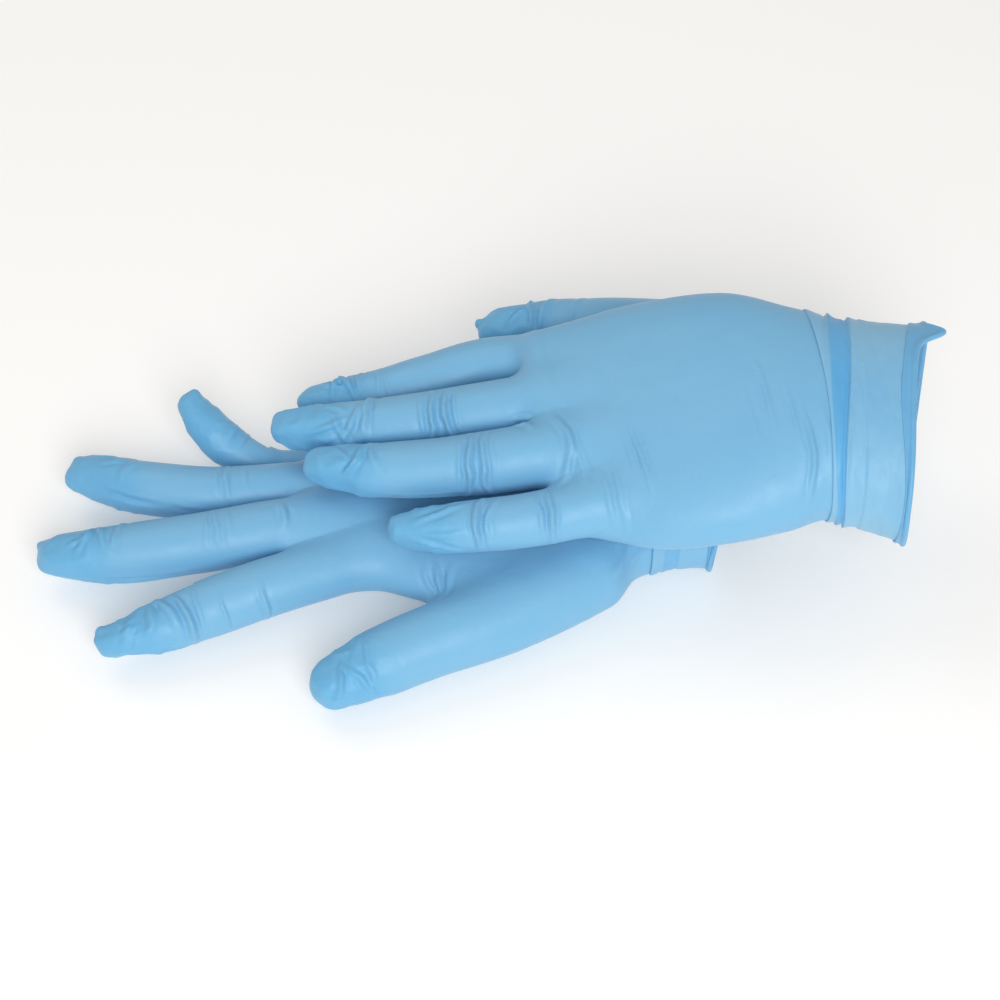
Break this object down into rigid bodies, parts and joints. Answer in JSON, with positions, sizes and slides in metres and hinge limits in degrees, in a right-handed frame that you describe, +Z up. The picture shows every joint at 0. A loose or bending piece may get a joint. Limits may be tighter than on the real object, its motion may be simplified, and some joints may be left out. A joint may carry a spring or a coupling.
{
  "type": "pair of disposable rubber gloves",
  "caption": "Pair of thin stretchy gloves holding a worn shape, one laid across the other, with hollow bending fingers, wrist cuffs and rolled rims, for cleaning and hygiene work.",
  "frame": {"origin": "on the supporting surface, below the middle of the pair's bounding box", "axes": "+X from the fingertips to the cuffs, +Y from the right glove's thumb to the left glove's thumb, +Z up"},
  "size_m": [0.3002, 0.1534, 0.083],
  "materials": {
    "film_stretched": "satin",
    "film_relaxed": "satin",
    "film_cuff": "satin",
    "film_bead": "satin"
  },
  "bodies": {
    "right_hand": {"right_hand_body": "film_stretched", "right_thumb_root": "film_stretched", "right_index_root": "film_stretched", "right_middle_root": "film_stretched", "right_ring_root": "film_stretched", "right_little_root": "film_stretched", "right_cuff": "film_cuff", "right_cuff_bead": "film_bead"},
    "left_hand": {"left_hand_body": "film_stretched", "left_thumb_root": "film_stretched", "left_index_root": "film_stretched", "left_middle_root": "film_stretched", "left_ring_root": "film_stretched", "left_little_root": "film_stretched", "left_cuff": "film_cuff", "left_cuff_bead": "film_bead"},
    "right_thumb_body": {"right_thumb": "film_relaxed"},
    "right_index_finger_body": {"right_index_finger": "film_relaxed"},
    "right_middle_finger_body": {"right_middle_finger": "film_relaxed"},
    "right_ring_finger_body": {"right_ring_finger": "film_relaxed"},
    "right_little_finger_body": {"right_little_finger": "film_relaxed"},
    "left_thumb_body": {"left_thumb": "film_relaxed"},
    "left_index_finger_body": {"left_index_finger": "film_relaxed"},
    "left_middle_finger_body": {"left_middle_finger": "film_relaxed"},
    "left_ring_finger_body": {"left_ring_finger": "film_relaxed"},
    "left_little_finger_body": {"left_little_finger": "film_relaxed"}
  },
  "joints": [
    {"name": "left_glove_lift", "type": "slide", "parent": "right_hand", "child": "left_hand", "axis": [0, 0, 1], "range_m": [0, 0.12]},
    {"name": "right_thumb_bend", "type": "hinge", "parent": "right_hand", "child": "right_thumb_body", "pos_m": [-0.01767, -0.0532, 0.0147], "axis": [0, 0, 1], "range_deg": [-16, 8], "stiffness_Nm_per_rad": 0.006},
    {"name": "right_index_finger_bend", "type": "hinge", "parent": "right_hand", "child": "right_index_finger_body", "pos_m": [-0.07068, -0.0312, 0.0165], "axis": [-0.3551, 0.9348, 0], "range_deg": [-5, 18], "stiffness_Nm_per_rad": 0.006},
    {"name": "right_middle_finger_bend", "type": "hinge", "parent": "right_hand", "child": "right_middle_finger_body", "pos_m": [-0.07068, -0.0082, 0.0181], "axis": [-0.2137, 0.9769, 0], "range_deg": [-5, 18], "stiffness_Nm_per_rad": 0.006},
    {"name": "right_ring_finger_bend", "type": "hinge", "parent": "right_hand", "child": "right_ring_finger_body", "pos_m": [-0.07068, 0.0121, 0.0151], "axis": [-0.1488, 0.9889, 0], "range_deg": [-5, 18], "stiffness_Nm_per_rad": 0.006},
    {"name": "right_little_finger_bend", "type": "hinge", "parent": "right_hand", "child": "right_little_finger_body", "pos_m": [-0.06667, 0.03, 0.0093], "axis": [-0.1974, 0.9803, 0], "range_deg": [-5, 18], "stiffness_Nm_per_rad": 0.006},
    {"name": "left_thumb_bend", "type": "hinge", "parent": "left_hand", "child": "left_thumb_body", "pos_m": [0.03232, 0.0638, 0.0401], "axis": [0, 0, -1], "range_deg": [-8, 14], "stiffness_Nm_per_rad": 0.006},
    {"name": "left_index_finger_bend", "type": "hinge", "parent": "left_hand", "child": "left_index_finger_body", "pos_m": [0.00332, 0.0444, 0.0435], "axis": [-0.0936, 0.9956, 0], "range_deg": [0, 22], "stiffness_Nm_per_rad": 0.006},
    {"name": "left_middle_finger_bend", "type": "hinge", "parent": "left_hand", "child": "left_middle_finger_body", "pos_m": [0.00332, 0.0203, 0.0475], "axis": [-0.0792, 0.9969, 0], "range_deg": [0, 22], "stiffness_Nm_per_rad": 0.006},
    {"name": "left_ring_finger_bend", "type": "hinge", "parent": "left_hand", "child": "left_ring_finger_body", "pos_m": [0.00932, -0.0014, 0.0469], "axis": [-0.1003, 0.995, 0], "range_deg": [0, 22], "stiffness_Nm_per_rad": 0.006},
    {"name": "left_little_finger_bend", "type": "hinge", "parent": "left_hand", "child": "left_little_finger_body", "pos_m": [0.01932, -0.0238, 0.0436], "axis": [-0.1293, 0.9916, 0], "range_deg": [0, 22], "stiffness_Nm_per_rad": 0.006}
  ]
}
